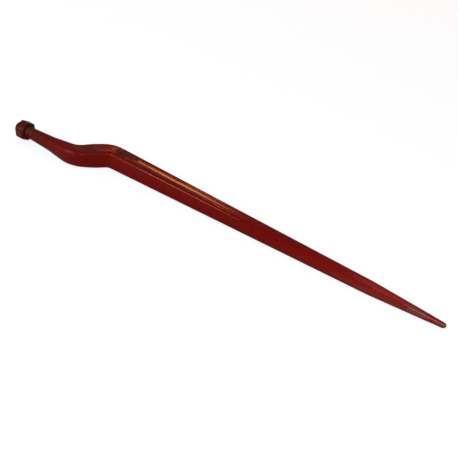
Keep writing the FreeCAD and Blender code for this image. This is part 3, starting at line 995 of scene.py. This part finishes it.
# %% [markdown]
# ## The floor
#
# A tine lies on the underside of its crank and, far down the bar, on the place where the point
# begins, so the tip is just off the floor. The model keeps the bar level, so the floor leans
# instead. Of all the floors that touch the underside, the tine rests on the one that is highest
# below its middle. The floor is a large pale plane that looks white to the camera and keeps a soft
# shadow.

# %% Where the tine rests
UNDERSIDE_STEP = 5 * MM
BAR_MIDDLE = 400 * MM
# Slopes to try, from level to a rise of 3 in 100.
SLOPES = [step / 10000 for step in range(300)]

underside = {}
for point in tine.data.vertices:
    step = round(point.co.x / UNDERSIDE_STEP)
    underside[step] = min(underside.get(step, point.co), point.co, key=lambda place: place.z)


def floor_lift(slope):
    """The height at X = 0 of a floor with this slope that touches the underside."""
    return min(place.z - slope * place.x for place in underside.values())


floor_slope = max(SLOPES, key=lambda slope: floor_lift(slope) + slope * BAR_MIDDLE)
print("the floor rises", round(math.degrees(math.atan(floor_slope)), 2), "degrees")

# %% Floor
FLOOR_SIZE = 12
FLOOR_GREY = (0.4, 0.4, 0.4, 1)
FLOOR_GLOW = 0.76

rest = (0, 0, floor_lift(floor_slope))
deselect_all()
bpy.ops.mesh.primitive_plane_add(size=FLOOR_SIZE, location=rest)
floor = bpy.context.active_object
floor.name = "floor"
bpy.ops.transform.rotate(value=math.atan(floor_slope), orient_axis="Y", center_override=rest)
floor_up = floor.matrix_world.to_3x3() @ Vector((0, 0, 1))
print("floor slope", round(-floor_up.x / floor_up.z, 4), "of", floor_slope)


def by_ray(tree, soft, glossy, seen):
    """A level for soft light, one for reflections, and one that the camera sees."""
    path = tree.nodes.new("ShaderNodeLightPath").outputs
    unseen = add_node(tree, "Mix", {0: path["Is Glossy Ray"], 2: soft, 3: glossy})
    direct = calculate(tree, "MAXIMUM", path["Is Camera Ray"], path["Is Transmission Ray"])
    level = add_node(tree, "Mix", {0: direct, 2: unseen.outputs[0], 3: seen})
    return level.outputs[0]


# %% Floor material
floor_paint = bpy.data.materials.new("pale_floor")
floor_paint.use_nodes = True
tree = floor_paint.node_tree
tree.nodes.clear()
soft = add_node(tree, "BsdfDiffuse", {"Color": FLOOR_GREY})
glow = add_node(tree, "Emission", {"Strength": by_ray(tree, 0.0, 0.0, FLOOR_GLOW)})
both = add_node(tree, "AddShader", {0: soft.outputs[0], 1: glow.outputs[0]})
add_node(tree, "OutputMaterial", {"Surface": both.outputs[0]})
floor.data.materials.append(floor_paint)

# %% [markdown]
# ## Light
#
# The photograph has soft, even light from the front and the right, a key lamp that draws a thin
# line on the front ridge, and a warm light behind the tine. The hollow of the top flute mirrors
# that light as one long highlight. So the back lamp stands where the flute mirrors it: its place
# decides where along the flute the highlight lies, and its size how wide the highlight is.

# %% World
WORLD_SOFT = 0.38
WORLD_MIRRORED = 0.1
WORLD_SEEN = 1.0

world = bpy.data.worlds.new("studio")
bpy.context.scene.world = world
world.use_nodes = True
background = world.node_tree.nodes["Background"]
background.inputs["Color"].default_value = (1, 1, 1, 1)
wire(world.node_tree, background.inputs["Strength"], by_ray(
    world.node_tree, WORLD_SOFT, WORLD_MIRRORED, WORLD_SEEN))


# %% Lamps
FRONT_DISTANCE = 2.4
BACK_DISTANCE = 4.0


def add_lamp(name, aim, direction, distance, size, watts, color=(1, 1, 1), roll=0):
    """A soft rectangular lamp that faces a point from a direction."""
    place = Vector(aim) + Vector(direction).normalized() * distance
    deselect_all()
    bpy.ops.object.light_add(type="AREA", location=place)
    lamp = bpy.context.active_object
    lamp.name = name
    facing = (Vector(aim) - place).to_track_quat("-Z", "Y")
    lamp.rotation_euler = (facing @ Quaternion((0, 0, 1), roll)).to_euler()
    lamp.data.shape = "RECTANGLE"
    lamp.data.size, lamp.data.size_y = size
    lamp.data.energy = watts
    lamp.data.color = color


add_lamp("key", (0.29, CRANK_OFFSET, 0), (-0.4, -0.73, 0.55), FRONT_DISTANCE, (0.6, 0.9),
         watts=12, color=(1, 1.1, 1.8))
add_lamp("left", (0.2, CRANK_OFFSET, 0), (-0.9, -0.6, 0.35), FRONT_DISTANCE, (2.5, 2.5), watts=6)
add_lamp("right", (0.5, CRANK_OFFSET, 0), (0.55, -0.75, 0.4), FRONT_DISTANCE, (0.8, 0.8), watts=22)
add_lamp("back", (0.29, CRANK_OFFSET, 0.015), (-0.422, 0.684, 0.582), BACK_DISTANCE, (0.55, 1.1),
         watts=14, color=(1, 0.62, 0.28), roll=math.radians(-43))

# %% [markdown]
# ## Camera
#
# The camera stands where the photographer stood: to the right of the tine and above it, rolled a
# little, so that the tine runs from the upper left to the lower right of a square picture.

# %% Camera
SENSOR_WIDTH = 36
PICTURE_WIDTH = 458
FOCAL_PIXELS = 627.6
PICTURE_LIFT = 0.6 * MM


def aim_camera(azimuth, elevation, roll, distance, target, lens):
    """A camera that looks at a target from two angles, turned about its own line of sight."""
    away = Vector((
        math.sin(azimuth) * math.cos(elevation),
        -math.cos(azimuth) * math.cos(elevation),
        math.sin(elevation)))
    facing = (-away).to_track_quat("-Z", "Y") @ Quaternion((0, 0, 1), roll)
    lifted = Vector(target) + facing @ Vector((0, PICTURE_LIFT, 0))
    deselect_all()
    bpy.ops.object.camera_add(location=lifted + away * distance)
    camera = bpy.context.active_object
    camera.name = "photo_camera"
    camera.rotation_mode = "QUATERNION"
    camera.rotation_quaternion = facing
    camera.data.lens = lens
    camera.data.clip_end = 50
    bpy.context.scene.camera = camera


aim_camera(
    azimuth=0.439, elevation=0.639, roll=0.206, distance=1.067,
    target=(0.4023, CRANK_OFFSET, -0.026), lens=SENSOR_WIDTH * FOCAL_PIXELS / PICTURE_WIDTH)
bpy.context.scene.view_settings.view_transform = "Standard"
